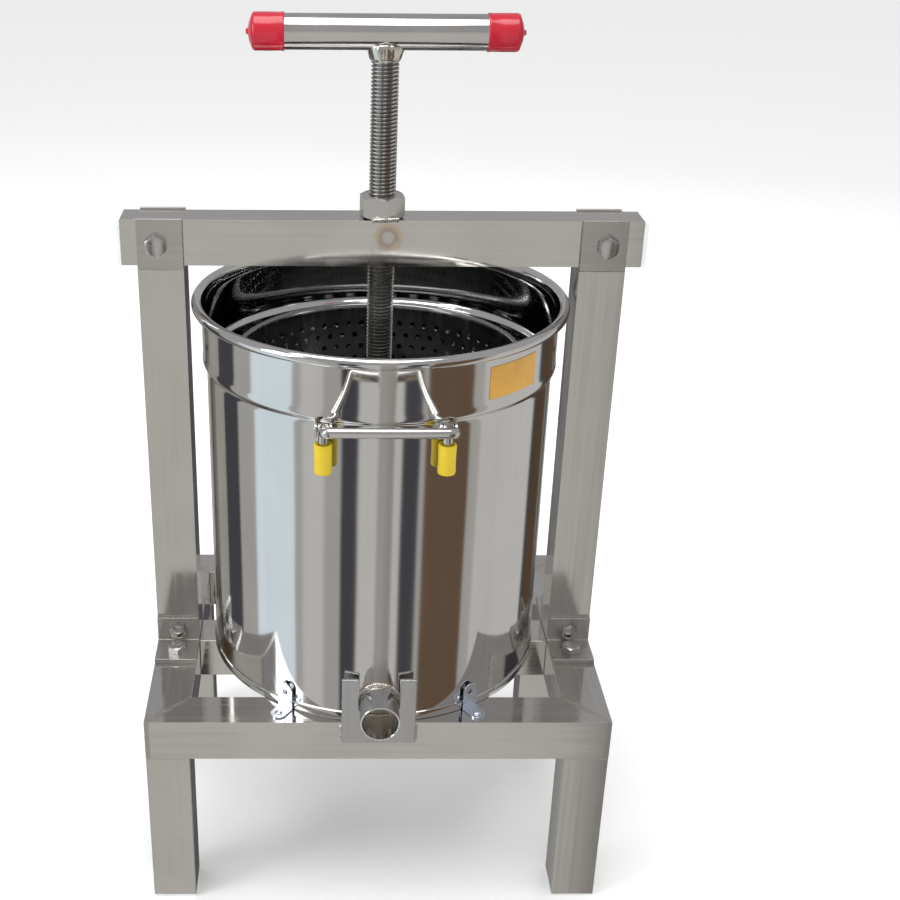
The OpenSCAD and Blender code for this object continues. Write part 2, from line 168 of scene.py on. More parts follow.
def sweep(path, radius, ring=20, closed=False, round_ends=False):
    """A tube along a path. The radius is a number or a function of (index, angle).

    An open end is closed by a cap, which stands out by a share of the radius."""
    pts = [Vector(p) for p in path]
    count = len(pts)
    reach = radius if callable(radius) else (lambda i, a: radius)
    tangents = []
    for i in range(count):
        ahead = pts[(i + 1) % count] if closed else pts[min(i + 1, count - 1)]
        behind = pts[i - 1] if closed else pts[max(i - 1, 0)]
        tangents.append((ahead - behind).normalized())
    side = tangents[0].orthogonal().normalized()
    verts, rows = [], []
    for p, t in zip(pts, tangents):
        side = (side - t * side.dot(t)).normalized()
        up = t.cross(side)
        i = len(rows)
        row = []
        for k in range(ring):
            a = TAU * k / ring
            row.append(len(verts))
            verts.append(p + (side * math.cos(a) + up * math.sin(a)) * reach(i, a))
        rows.append(row)
    faces = skin(rows, closed)
    if not closed:
        bulge = reach(0, 0) * (0.6 if round_ends else 0.12)
        inset = 0.7
        for row, p, t in ((rows[0], pts[0], -tangents[0]), (rows[-1], pts[-1], tangents[-1])):
            inner = []
            for v in row:
                inner.append(len(verts))
                verts.append(p + (verts[v] - p) * inset + t * bulge * inset)
            faces += skin([row, inner, [len(verts)] * ring])
            verts.append(p + t * bulge)
    return verts, faces


def hexagon(flats, height, bore=0.0, chamfer_both=False, lift=0.0):
    """A hexagon head, or a nut if it has a bore, on z = 0. A 30 degree cone cuts its corners."""
    apothem = flats / 2
    crown = apothem * 0.95
    slope = math.tan(math.radians(30))
    edge = 0.035 * apothem

    def corner(a):
        return apothem / math.cos((a + math.radians(30)) % math.radians(60) - math.radians(30))

    def cut(r):
        return max(0.0, r - crown) * slope

    rows = [(bore + 0.3 * MM, 0.0) if bore else (0.0, 0.0)]
    if chamfer_both:
        rows += [(crown, 0.0), lambda a: (corner(a), cut(corner(a)))]
    else:
        rows += [lambda a: (corner(a) - edge, 0.0), lambda a: (corner(a), edge)]
    rows += [lambda a: (corner(a), height - cut(corner(a))), (crown, height)]
    if bore:
        soft = 0.6 * MM
        rows += [(bore + soft, height), (bore, height - soft), (bore, soft)]
    else:
        rows += [(crown * 0.9, height), (crown * 0.84, height + lift), (0.0, height + lift)]
    return lathe(rows, 96, bool(bore))


def thread(major, minor, pitch, z0, z1, steps=48):
    """A right-hand helical thread round Z between two heights, closed at both ends."""
    # One pitch of the form: the share of the pitch, and the radius there
    shape = [(0.0, major - 0.25 * MM), (0.06, major), (0.36, major), (0.42, major - 0.25 * MM),
             (0.55, minor), (0.86, minor)]
    per = len(shape)
    turns = int((z1 - z0) / pitch) + 2
    verts, faces = [], []
    rows = turns * per
    for k in range(rows):
        share, r = shape[k % per]
        base = z0 + pitch * (k // per - 1 + share)
        for i in range(steps):
            a = TAU * i / steps
            z = base + pitch * i / steps
            rr = r
            if z < z0 or z > z1:
                z = min(max(z, z0), z1)
                rr = minor
            verts.append(Vector((rr * math.cos(a), rr * math.sin(a), z)))
    for k in range(rows - 1):
        for i in range(steps):
            j = (i + 1) % steps
            wrap = per if j == 0 else 0
            if k + 1 + wrap >= rows:
                continue
            faces.append((k * steps + i, (k + wrap) * steps + j,
                          (k + 1 + wrap) * steps + j, (k + 1) * steps + i))
    return verts, faces


def rod_thread(r, z0, z1, pitch):
    """A short threaded bolt end as a ribbed lathe with a chamfered tip."""
    profile = [(0.0, z0)]
    z = z0
    while z + pitch < z1 - pitch:
        profile += [(r - 0.55 * pitch, z), (r, z + 0.5 * pitch)]
        z += pitch
    profile += [(r - 0.55 * pitch, z), (r, z + 0.4 * pitch), (r, z1 - pitch),
                (r - 0.7 * pitch, z1), (0.0, z1)]
    return lathe(profile, 40)


def weld(path, radius, seed, closed=False, ripple=1.6 * MM):
    """A weld bead along a path, with the ripples of its overlapping pools."""
    per_ripple = 5
    pts = [Vector(p) for p in path]
    dense = []
    count = len(pts) if closed else len(pts) - 1
    for i in range(count):
        a, b = pts[i], pts[(i + 1) % len(pts)]
        parts = max(1, round((b - a).length / (ripple / per_ripple)))
        dense += [a.lerp(b, k / parts) for k in range(parts)]
    if not closed:
        dense.append(pts[-1])

    def reach(i, a):
        wave = abs(math.sin(math.pi * i / per_ripple))
        lump = noise.noise(dense[i % len(dense)] / (3 * MM) + Vector((seed, 0, a)))
        taper = 1.0
        if not closed:
            taper = min(1.0, 0.45 + 0.2 * min(i, len(dense) - 1 - i))
        return radius * taper * (0.86 + 0.14 * wave + 0.22 * lump)

    return sweep(dense, reach, 12, closed, round_ends=not closed)


def piece(name, made, material, body, stands_for=(), sharp=38, flat=False):
    """Builds an object from a shape, shades it, and binds it to its body and CAD nodes."""
    verts, faces = (made.verts, made.faces) if isinstance(made, Shape) else made
    mesh = bpy.data.meshes.new(name)
    mesh.from_pydata([tuple(v) for v in verts], [], faces)
    bm = bmesh.new()
    bm.from_mesh(mesh)
    bmesh.ops.remove_doubles(bm, verts=bm.verts, dist=1e-7)
    bmesh.ops.dissolve_degenerate(bm, edges=bm.edges, dist=1e-7)
    bmesh.ops.recalc_face_normals(bm, faces=bm.faces)
    shade(bm, sharp)
    bm.to_mesh(mesh)
    bm.free()
    return bind(name, mesh, material, body, stands_for, flat)


def shade(bm, sharp):
    limit = math.radians(sharp)
    for f in bm.faces:
        f.smooth = True
    for e in bm.edges:
        e.smooth = not (len(e.link_faces) == 2 and e.calc_face_angle(0.0) > limit)


def bind(name, mesh, material, body, stands_for, flat):
    obj = bpy.data.objects.new(name, mesh)
    bpy.context.scene.collection.objects.link(obj)
    mesh.materials.append(material)
    if flat:
        weighted = obj.modifiers.new("even_normals", "WEIGHTED_NORMAL")
        weighted.keep_sharp = True
    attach(obj, body)
    if stands_for:
        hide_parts(*stands_for)
    return obj


def body_of(node):
    for name, members in frame["record"]["behaviour"]["bodies"].items():
        if node in members:
            return name
    raise KeyError(node)


def rounded(node, material, width, segments=3):
    """A copy of a CAD node with its edges broken, which stands for that node.

    Edges that turn by more than half a radian are broken, so curved faces stay as they are."""
    bm = bmesh.new()
    bm.from_mesh(frame["nodes"][node].data)
    bmesh.ops.remove_doubles(bm, verts=bm.verts, dist=2e-6)
    bmesh.ops.dissolve_limit(bm, angle_limit=math.radians(0.4), verts=bm.verts, edges=bm.edges)
    edges = [e for e in bm.edges if len(e.link_faces) == 2 and e.calc_face_angle(0.0) > 0.5]
    bmesh.ops.bevel(bm, geom=edges, offset=width, offset_type="OFFSET", segments=segments,
                    profile=0.5, affect="EDGES", clamp_overlap=True)
    bmesh.ops.recalc_face_normals(bm, faces=bm.faces)
    shade(bm, 40)
    mesh = bpy.data.meshes.new(node + "_finished")
    bm.to_mesh(mesh)
    bm.free()
    return bind(node + "_finished", mesh, material, body_of(node), (node,), True)


# ---- Materials ----------------------------------------------------------------------------

class Nodes:
    """A small writer of shader node trees."""

    def __init__(self, tree):
        self.tree = tree
        tree.nodes.clear()

    def node(self, kind, **settings):
        made = self.tree.nodes.new(kind)
        for key, value in settings.items():
            setattr(made, key, value)
        return made

    def link(self, source, target):
        self.tree.links.new(source, target)

    def math(self, operation, a, b=None, clamp=False):
        made = self.node("ShaderNodeMath", operation=operation, use_clamp=clamp)
        for socket, value in zip(made.inputs, (a, b)):
            if value is None:
                continue
            if isinstance(value, (int, float)):
                socket.default_value = value
            else:
                self.link(value, socket)
        return made.outputs[0]

    def scaled(self, vector, scale):
        made = self.node("ShaderNodeMapping")
        made.inputs["Scale"].default_value = scale
        self.link(vector, made.inputs["Vector"])
        return made.outputs["Vector"]

    def noise(self, vector, scale, detail=4.0, rough=0.55, distortion=0.0):
        made = self.node("ShaderNodeTexNoise")
        made.inputs["Scale"].default_value = scale
        made.inputs["Detail"].default_value = detail
        made.inputs["Roughness"].default_value = rough
        made.inputs["Distortion"].default_value = distortion
        self.link(vector, made.inputs["Vector"])
        return made.outputs[0]

    def span(self, value, low, high, to_low=0.0, to_high=1.0, smooth=False):
        made = self.node("ShaderNodeMapRange", clamp=True)
        if smooth:
            made.interpolation_type = "SMOOTHSTEP"
        self.link(value, made.inputs["Value"])
        for key, number in (("From Min", low), ("From Max", high),
                            ("To Min", to_low), ("To Max", to_high)):
            made.inputs[key].default_value = number
        return made.outputs[0]

    def mix(self, factor, a, b, blend="MIX"):
        made = self.node("ShaderNodeMix", data_type="RGBA", blend_type=blend)
        if isinstance(factor, (int, float)):
            made.inputs[0].default_value = factor
        else:
            self.link(factor, made.inputs[0])
        for socket, value in ((made.inputs[6], a), (made.inputs[7], b)):
            if isinstance(value, (tuple, list)):
                socket.default_value = (*value[:3], 1.0)
            else:
                self.link(value, socket)
        return made.outputs[2]

    def tint(self, base, mask, strength, color):
        """The base, mixed towards a colour by the mask times the strength."""
        return self.mix(self.math("MULTIPLY", mask, strength), base, color)

    def plus(self, value, mask, amount):
        """The value plus the mask times the amount."""
        return self.math("ADD", value, self.math("MULTIPLY", mask, amount))

    def bump(self, height, strength, distance):
        made = self.node("ShaderNodeBump")
        made.inputs["Strength"].default_value = strength
        made.inputs["Distance"].default_value = distance
        self.link(height, made.inputs["Height"])
        return made.outputs["Normal"]


def new_material(name):
    """A material with its writer, shader and object coordinates."""
    made = bpy.data.materials.new(name)
    made.use_nodes = True
    write = Nodes(made.node_tree)
    out = write.node("ShaderNodeOutputMaterial")
    shader = write.node("ShaderNodeBsdfPrincipled")
    write.link(shader.outputs[0], out.inputs["Surface"])
    coords = write.node("ShaderNodeTexCoord").outputs["Object"]
    return made, write, shader, coords


def metal(name, color, rough, grain, fine=260.0, depth=0.12, spread=0.06, shade_by=0.86,
          extra=None):
    """Stainless steel or plating: grain lines, cloudy smudges and fine scratches.

    grain holds the scale along X, Y and Z, so a small number draws the lines out that way."""
    made, write, shader, coords = new_material(name)
    shader.inputs["Metallic"].default_value = 1.0
    lines = write.noise(write.scaled(coords, grain), fine, 5.0, 0.6)
    clouds = write.noise(coords, 14.0, 3.0, 0.5, 0.4)
    specks = write.noise(coords, 900.0, 2.0)
    tone = write.span(clouds, 0.3, 0.7, 0.0, 1.0)
    dark = tuple(c * shade_by for c in color)
    base = write.mix(tone, dark, color)
    streak = write.span(lines, 0.35, 0.65, 0.0, 0.35)
    base = write.mix(streak, base, tuple(min(1.0, c * 1.12) for c in color))
    rough_map = write.math("ADD", write.span(lines, 0.3, 0.7, rough - spread, rough + spread),
                           write.span(clouds, 0.35, 0.75, -spread * 0.5, spread * 0.8))
    height = write.plus(lines, specks, 0.25)
    if extra:
        base, rough_map, height = extra(write, coords, base, rough_map, height)
    write.link(base, shader.inputs["Base Color"])
    write.link(rough_map, shader.inputs["Roughness"])
    write.link(write.bump(height, depth, 0.02 * MM), shader.inputs["Normal"])
    return made


def axes_of(write, coords):
    made = write.node("ShaderNodeSeparateXYZ")
    write.link(coords, made.inputs[0])
    return made.outputs


def near(write, coords, point, reach_in, reach_out):
    """1 within reach_in of a point and 0 beyond reach_out."""
    made = write.node("ShaderNodeVectorMath", operation="DISTANCE")
    write.link(coords, made.inputs[0])
    made.inputs[1].default_value = point
    return write.span(made.outputs["Value"], reach_in, reach_out, 1.0, 0.0, smooth=True)


def heat_tint(points, size):
    """Straw, brown and blue rings round welds."""
    def extra(write, coords, base, rough_map, height):
        wobble = write.node("ShaderNodeVectorMath", operation="ADD")
        jitter = write.node("ShaderNodeTexNoise")
        jitter.inputs["Scale"].default_value = 180.0
        write.link(coords, jitter.inputs["Vector"])
        shifted = write.node("ShaderNodeVectorMath", operation="SCALE")
        shifted.inputs["Scale"].default_value = size * 0.45
        write.link(jitter.outputs["Color"], shifted.inputs[0])
        write.link(coords, wobble.inputs[0])
        write.link(shifted.outputs[0], wobble.inputs[1])
        for point in points:
            # The wobble moves a point by about this much, so the centre moves with it
            at = tuple(c + size * 0.22 for c in point)
            straw = near(write, wobble.outputs[0], at, size * 0.75, size)
            hot = near(write, wobble.outputs[0], at, size * 0.5, size * 0.72)
            core = near(write, wobble.outputs[0], at, size * 0.3, size * 0.45)
            base = write.tint(base, straw, 0.55, (0.62, 0.47, 0.26))
            base = write.tint(base, hot, 0.45, (0.33, 0.28, 0.33))
            base = write.tint(base, core, 0.8, (0.62, 0.60, 0.57))
            rough_map = write.plus(rough_map, straw, 0.1)
        return base, rough_map, height
    return extra


def plastic(name, color, dark, rough, bumpy, coat, subsurface=0.0):
    """Moulded or dipped plastic with a faint mottle and a fine skin."""
    made, write, shader, coords = new_material(name)
    clouds = write.noise(coords, 40.0, 3.0)
    grain = write.noise(coords, 500.0, 3.0)
    write.link(write.mix(write.span(clouds, 0.3, 0.75), color, dark), shader.inputs["Base Color"])
    write.link(write.span(clouds, 0.25, 0.8, rough * 0.8, rough * 1.3), shader.inputs["Roughness"])
    write.link(write.bump(grain, bumpy, 0.08 * MM), shader.inputs["Normal"])
    shader.inputs["Coat Weight"].default_value = coat
    shader.inputs["Coat Roughness"].default_value = 0.06
    shader.inputs["Subsurface Weight"].default_value = subsurface
    shader.inputs["Subsurface Radius"].default_value = (0.004, 0.003, 0.002)
    return made


EVEN = (1.0, 1.0, 1.0)
ALONG_X = (0.012, 1.0, 1.0)
ALONG_Y = (1.0, 0.012, 1.0)
ALONG_Z = (1.0, 1.0, 0.012)
STEEL = (0.64, 0.62, 0.59)
SATIN = (0.58, 0.56, 0.53)

base_half_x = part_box("front_rail")[1].x
base_half_y = -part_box("front_rail")[0].y


def mitre_zone(write, coords, base, rough_map, height):
    """Ground weld along the four mitred corners of the base."""
    axes = axes_of(write, coords)
    across = write.math("SUBTRACT", write.math("ABSOLUTE", axes[0]),
                        write.math("ABSOLUTE", axes[1]))
    off = write.math("ABSOLUTE", write.math("SUBTRACT", across, base_half_x - base_half_y))
    ground = write.span(off, 2.5 * MM, 5.5 * MM, 1.0, 0.0, smooth=True)
    grit = write.noise(coords, 700.0, 3.0)
    base = write.tint(base, ground, 0.5, (0.50, 0.47, 0.43))
    rough_map = write.plus(rough_map, ground, 0.2)
    height = write.plus(height, ground, grit)
    return base, rough_map, height


nut_lo, nut_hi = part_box("screw_nut")
beam_lo, beam_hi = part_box("crossbeam")
weld_spot = (5 * MM, beam_lo.y, beam_hi.z - 14 * MM)
tube_x = metal("tube_steel_x", STEEL, 0.11, ALONG_X, extra=mitre_zone)
tube_y = metal("tube_steel_y", STEEL, 0.11, ALONG_Y, extra=mitre_zone)
tube_z = metal("tube_steel_z", STEEL, 0.13, ALONG_Z)
beam_steel = metal("beam_steel", STEEL, 0.08, ALONG_X, extra=heat_tint([weld_spot], 13 * MM))
plate_steel = metal("plate_steel", SATIN, 0.34, EVEN, 120.0, 0.3, 0.08)
saddle_steel = metal("saddle_steel", (0.62, 0.62, 0.62), 0.33, ALONG_Z, 200.0, 0.5, 0.08, 0.8)
fork_steel = metal("fork_steel", (0.60, 0.58, 0.55), 0.27, ALONG_X, 200.0, 0.2, 0.08)
bolt_steel = metal("bolt_steel", (0.62, 0.61, 0.59), 0.24, EVEN, 500.0, 0.3, 0.08)
zinc = metal("zinc_plate", (0.74, 0.79, 0.87), 0.22, EVEN, 160.0, 0.3, 0.08, 0.9)
rod_steel = metal("rod_steel", (0.66, 0.65, 0.62), 0.13, EVEN, 300.0, 0.08, 0.04)
bar_steel = metal("bar_steel", (0.66, 0.64, 0.62), 0.14, ALONG_X, 260.0, 0.15, 0.05)
basket_steel = metal("basket_steel", (0.30, 0.30, 0.30), 0.2, ALONG_Z, 160.0, 0.15, 0.07)
press_steel = metal("press_steel", (0.52, 0.52, 0.51), 0.34, EVEN, 160.0, 0.3, 0.08)
weld_steel = metal("weld_steel", (0.80, 0.76, 0.70), 0.2, EVEN, 420.0, 0.5, 0.1, 0.7)

outlet_lo, outlet_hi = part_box("outlet_pipe")
outlet_z = (outlet_lo.z + outlet_hi.z) / 2
outlet_r = (outlet_hi.z - outlet_lo.z) / 2
SHEET = 1.5 * MM
wall_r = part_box("barrel_floor")[1].x - SHEET


def seam_zone(write, coords, base, rough_map, height):
    """The ground vertical weld down the front of the barrel, and weld tint at the outlet."""
    axes = axes_of(write, coords)
    wander = write.noise(write.scaled(coords, (0.0, 0.0, 1.0)), 30.0, 2.0)
    off = write.math("ABSOLUTE", write.math("SUBTRACT", axes[0],
                                            write.math("MULTIPLY", wander, 1.5 * MM)))
    front = write.span(axes[1], -120 * MM, -100 * MM, 1.0, 0.0)
    dull = write.math("MULTIPLY", write.span(off, 4 * MM, 8.5 * MM, 1.0, 0.0, smooth=True), front)
    grit = write.noise(write.scaled(coords, (1.0, 1.0, 0.25)), 500.0, 4.0)
    base = write.tint(base, dull, 0.55, (0.52, 0.50, 0.46))
    rough_map = write.plus(rough_map, dull, 0.3)
    height = write.plus(height, dull, write.math("MULTIPLY", grit, 2.0))
    ring = near(write, coords, (0.0, -wall_r, outlet_z), outlet_r * 1.15, outlet_r * 1.55)
    base = write.tint(base, ring, 0.5, (0.62, 0.50, 0.34))
    rough_map = write.plus(rough_map, ring, 0.1)
    return base, rough_map, height


mirror_steel = metal("mirror_steel", (0.68, 0.67, 0.66), 0.075, ALONG_Z, 60.0, 0.02, 0.02, 0.93,
                     seam_zone)
pipe_steel = metal("pipe_steel", (0.70, 0.70, 0.70), 0.1, ALONG_Y, 200.0, 0.1, 0.04)


def grease_and_painted_shade_roots(write, coords, base, rough_map, height):
    """Grease and painted shade: the roots of the screw thread are darkened."""
    axes = axes_of(write, coords)
    radius = write.math("SQRT", write.math("ADD", write.math("MULTIPLY", axes[0], axes[0]),
                                           write.math("MULTIPLY", axes[1], axes[1])))
    root = write.span(radius, 9.4 * MM, 10.7 * MM, 1.0, 0.0)
    # Painted shade together with grease: the thread roots are darkened towards near black
    base = write.tint(base, root, 0.72, (0.16, 0.14, 0.12))
    rough_map = write.plus(rough_map, root, 0.18)
    return base, rough_map, height


screw_steel = metal("screw_steel", (0.66, 0.65, 0.63), 0.18, EVEN, 300.0, 0.2, 0.06,
                    extra=grease_and_painted_shade_roots)
red_vinyl = plastic("red_vinyl", (0.50, 0.008, 0.028), (0.38, 0.005, 0.018), 0.22, 0.1, 0.4, 0.05)
yellow_vinyl = plastic("yellow_vinyl", (0.70, 0.52, 0.012), (0.62, 0.44, 0.01), 0.42, 0.25, 0.0,
                       0.05)
white_plastic = plastic("white_plastic", (0.78, 0.79, 0.78), (0.70, 0.71, 0.69), 0.42, 0.2, 0.0,
                        0.1)
label_film = plastic("label_film", (0.62, 0.33, 0.045), (0.52, 0.26, 0.03), 0.3, 0.1, 0.3)

# ---- Frame: tubes, brackets, forks --------------------------------------------------------

CORNER = 2.2 * MM
MITRED = 1.3 * MM
for material, slot, width, nodes in (
        (tube_x, "tube_steel", MITRED, ("front_rail", "rear_rail")),
        (tube_x, "tube_steel", CORNER, ("cross_rail",)),
        (tube_y, "tube_steel", MITRED, ("left_rail", "right_rail")),
        (tube_z, "tube_steel", CORNER, ("front_left_leg", "front_right_leg", "rear_left_leg",
                                        "rear_right_leg", "left_upright", "right_upright")),
        (plate_steel, "plate_steel", 0.8 * MM, ("left_front_bracket", "right_front_bracket",
                                                "left_rear_bracket", "right_rear_bracket")),
        (fork_steel, "plate_steel", 0.6 * MM, ("left_fork", "right_fork")),
        (saddle_steel, "plate_steel", 0.7 * MM, ("outlet_saddle",)),
        (zinc, "zinc", 0.35 * MM, ("left_clip", "right_clip")),
        (white_plastic, "white_plastic", 0.7 * MM, ("leg_plugs", "beam_end_caps")),
        (rod_steel, "rod_steel", 0.4 * MM, ("front_ears", "rear_ears")),
        (press_steel, "press_steel", 0.8 * MM, ("plate_ribs", "plate_hub")),
        (label_film, "label_film", 0.12 * MM, ("barrel_label",)),
        (basket_steel, "basket_steel", 0.6 * MM, ("basket_feet",)),
        (zinc, "bolt_steel", 0.4 * MM, ("retaining_washer",))):
    for node in nodes:
        rounded(node, material, width)
rounded("crossbeam", beam_steel, CORNER, 4)

# ---- Bolts, nuts and rivets ---------------------------------------------------------------

M8_FLATS, M8_HEAD, M8_NUT = 13 * MM, 5.3 * MM, 6.5 * MM
M10_FLATS, M10_HEAD, M10_NUT = 16 * MM, 6.4 * MM, 8 * MM
M8_PITCH, M10_PITCH = 1.25 * MM, 1.5 * MM
CORNERS = 1 / math.cos(math.radians(30))


def bolt_head(flats, head):
    """A bolt's head, with a slightly raised disc on top."""
    return hexagon(flats, head * 0.97, lift=0.03 * head)


def bolts_along_y(node, flats, head, radius, pitch, spin):
    """Both bolts of a node, whose heads face -Y."""
    lo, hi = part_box(node)
    x = hi.x - flats * CORNERS / 2
    z = (lo.z + hi.z) / 2
    shape = Shape()
    for side, angle in ((-1, spin[0]), (1, spin[1])):
        seat = lo.y + head
        place = move(side * x, seat, z) @ turn(90, "X") @ turn(angle)
        shape.add(bolt_head(flats, head), place)
        shank = move(side * x, seat - 0.1 * MM, z) @ turn(-90, "X")
        shape.add(rod_thread(radius, 0.0, hi.y - seat, pitch), shank)
    piece(node + "_threaded", shape, bolt_steel, "frame", (node,))


def nuts_along_y(node, flats, height, radius, spin):
    """Both nuts of a node, which stand on the face at its lowest Y."""
    lo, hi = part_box(node)
    x = hi.x - flats * CORNERS / 2
    z = (lo.z + hi.z) / 2
    shape = Shape()
    for side, angle in ((-1, spin[0]), (1, spin[1])):
        place = move(side * x, lo.y, z) @ turn(-90, "X") @ turn(angle)
        shape.add(hexagon(flats, height, radius + 0.02 * MM, True), place)
    piece(node + "_chamfered", shape, bolt_steel, "frame", (node,))


bolts_along_y("beam_bolts", M10_FLATS, M10_HEAD, 5 * MM, M10_PITCH, (6, -4))
nuts_along_y("beam_nuts", M10_FLATS, M10_NUT, 5 * MM, (12, 20))
bolts_along_y("bracket_bolts", M8_FLATS, M8_HEAD, 4 * MM, M8_PITCH, (14, -8))
nuts_along_y("bracket_nuts", M8_FLATS, M8_NUT, 4 * MM, (3, 24))

foot_lo, foot_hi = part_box("foot_bolts")
foot_x = foot_hi.x - M10_FLATS * CORNERS / 2
foot_y = foot_hi.y - M10_FLATS / 2
foot_seat = foot_hi.z - M10_HEAD
shape = Shape()
for sx, sy, angle in ((-1, -1, 10), (1, -1, -16), (-1, 1, 25), (1, 1, 2)):
    shape.add(bolt_head(M10_FLATS, M10_HEAD),
              move(sx * foot_x, sy * foot_y, foot_seat) @ turn(angle))
    shape.add(rod_thread(5 * MM, 0.0, foot_seat - foot_lo.z, M10_PITCH),
              move(sx * foot_x, sy * foot_y, foot_seat + 0.1 * MM) @ turn(180, "X"))
piece("foot_bolts_threaded", shape, bolt_steel, "frame", ("foot_bolts",))

rail_nut_lo, rail_nut_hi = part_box("rail_nuts")
shape = Shape()
for sx in (-1, 1):
    for sy in (-1, 1):
        shape.add(hexagon(M10_FLATS, rail_nut_hi.z - rail_nut_lo.z, 5.02 * MM, True),
                  move(sx * foot_x, sy * foot_y, rail_nut_lo.z))
piece("rail_nuts_chamfered", shape, bolt_steel, "frame", ("rail_nuts",))

NUT_TURN = 8
NUT_FLATS = 34 * MM
SCREW_R = 11 * MM
piece("screw_nut_chamfered", Shape().add(
    hexagon(NUT_FLATS, nut_hi.z - nut_lo.z, SCREW_R + 0.05 * MM, True),
    move(0, 0, nut_lo.z) @ turn(NUT_TURN)), bolt_steel, "frame", ("screw_nut",))

rivet_lo, rivet_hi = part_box("clip_rivets")
rivet_r = 3.6 * MM
rivet_head = 1.8 * MM
shape = Shape()
for side in (-1, 1):
    place = move(side * (rivet_hi.x - rivet_r), rivet_lo.y + rivet_r, 0)
    seat = rivet_hi.z - rivet_head
    dome = [(0.0, rivet_lo.z), (2 * MM, rivet_lo.z), (2 * MM, seat), (rivet_r, seat)]
    for i in range(1, 9):
        a = math.radians(90 * i / 8)
        dome.append((rivet_r * math.cos(a) if i < 8 else 0.0, seat + rivet_head * math.sin(a)))
    shape.add(lathe(dome, 32), place)
piece("clip_rivets_domed", shape, zinc, "frame", ("clip_rivets",), sharp=60)

# ---- Barrel -------------------------------------------------------------------------------

wall_lo, wall_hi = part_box("barrel_wall")
ROLL = 4.5 * MM
roll_r = wall_hi.x - ROLL
roll_z = wall_hi.z - ROLL
neck_r = roll_r - ROLL + 0.5 * MM
BEAD_Z = 471 * MM
BEAD_PROUD = 0.5 * MM
BEAD_HALF = 6 * MM
SEAM_RISE = 0.22 * MM
SEAM_HALF = math.radians(2.6)
FRONT = math.radians(270)


def outer_at(z):
    """The barrel's outer radius: the body, the rolled bead, and the wider neck above it."""
    base = wall_r if z < BEAD_Z else neck_r
    off = min(1.0, abs(z - BEAD_Z) / BEAD_HALF)
    return base + (neck_r + BEAD_PROUD - base) * math.cos(off * math.pi / 2) ** 2


def barrel_warp(r, z, a):
    """Slight waviness of hand-rolled sheet and the raised weld seam at the front."""
    wave = 0.10 * MM * noise.noise(Vector((math.cos(a) * 3.2, math.sin(a) * 3.2, z * 9)))
    fade = min(1.0, max(0.0, (roll_z - z) / (30 * MM)))
    off = abs(a - FRONT) / SEAM_HALF
    seam = SEAM_RISE * (1 - off * off) ** 2 if off < 1 else 0.0
    outer = 1.0 if r > outer_at(z) - 0.5 * SHEET else 0.0
    return r + wave * fade + seam * fade * outer, z


outer_z = [wall_lo.z + (roll_z - 2 * ROLL - wall_lo.z) * i / 46 for i in range(47)]
outer_z += [BEAD_Z + BEAD_HALF * i / 6 for i in range(-6, 7)]
outer_z = sorted(z for z in outer_z if z < roll_z - ROLL)
profile = [(outer_at(z), z) for z in outer_z]
profile += arc(roll_r, roll_z, ROLL, 210, 520, 30)
profile += [(neck_r - SHEET, roll_z - 6 * MM)]
profile += [(outer_at(z) - SHEET, z) for z in reversed(outer_z)]
piece("barrel_wall_rolled", lathe(profile, 384, True, barrel_warp), mirror_steel, "barrel",
      ("barrel_wall",))

floor_lo, floor_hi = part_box("barrel_floor")
hem_r = floor_hi.x
hem_top = floor_hi.z
pan_z = floor_lo.z + 3 * MM
profile = [(0.0, pan_z), (wall_r - 2.6 * SHEET, pan_z), (wall_r - 2 * SHEET, pan_z - 0.5 * MM),
           (wall_r - 2 * SHEET, floor_lo.z + 0.4 * MM), (wall_r - 1.7 * SHEET, floor_lo.z)]
profile += [(hem_r - 1.2 * MM, floor_lo.z), (hem_r - 0.35 * MM, floor_lo.z + 0.35 * MM)]
profile += [(hem_r, floor_lo.z + 1.4 * MM), (hem_r, hem_top - 1.1 * MM),
            (hem_r - 0.3 * MM, hem_top - 0.3 * MM), (hem_r - 0.8 * MM, hem_top),
            (wall_r + 0.1 * MM, hem_top - 0.2 * MM), (wall_r + 0.05 * MM, floor_lo.z + SHEET),
            (wall_r - SHEET, floor_lo.z + SHEET), (wall_r - SHEET - 0.05 * MM, pan_z + SHEET),
            (0.0, pan_z + SHEET)]
piece("barrel_floor_hemmed", lathe(profile, 256), mirror_steel, "barrel",
      ("barrel_floor",))

pipe_steps = 72
lip = 0.35 * MM
rings = []
for r, y in ((outlet_r, None), (outlet_r, outlet_lo.y + lip), (outlet_r - lip, outlet_lo.y),
             (outlet_r - SHEET + lip, outlet_lo.y), (outlet_r - SHEET, outlet_lo.y + lip),
             (outlet_r - SHEET, None)):
    ring = []
    for i in range(pipe_steps):
        a = TAU * i / pipe_steps
        x = r * math.cos(a)
        at_wall = -math.sqrt((wall_r - SHEET) ** 2 - x * x)
        ring.append(Vector((x, at_wall if y is None else y, outlet_z + r * math.sin(a))))
    rings.append(ring)
piece("outlet_pipe_lipped", loft(rings, True), pipe_steel, "barrel",
      ("outlet_pipe",))

ring_r = outlet_r + 1.0 * MM
ring_steps = 90
ring_path = []
for i in range(ring_steps):
    a = TAU * i / ring_steps
    x = ring_r * math.cos(a)
    ring_path.append((x, -math.sqrt((wall_r + 0.3 * MM) ** 2 - x * x),
                      outlet_z + ring_r * math.sin(a)))
piece("outlet_weld", weld(ring_path, 2.0 * MM, 3.0, closed=True), weld_steel, "barrel")

# ---- Carrying handles ---------------------------------------------------------------------

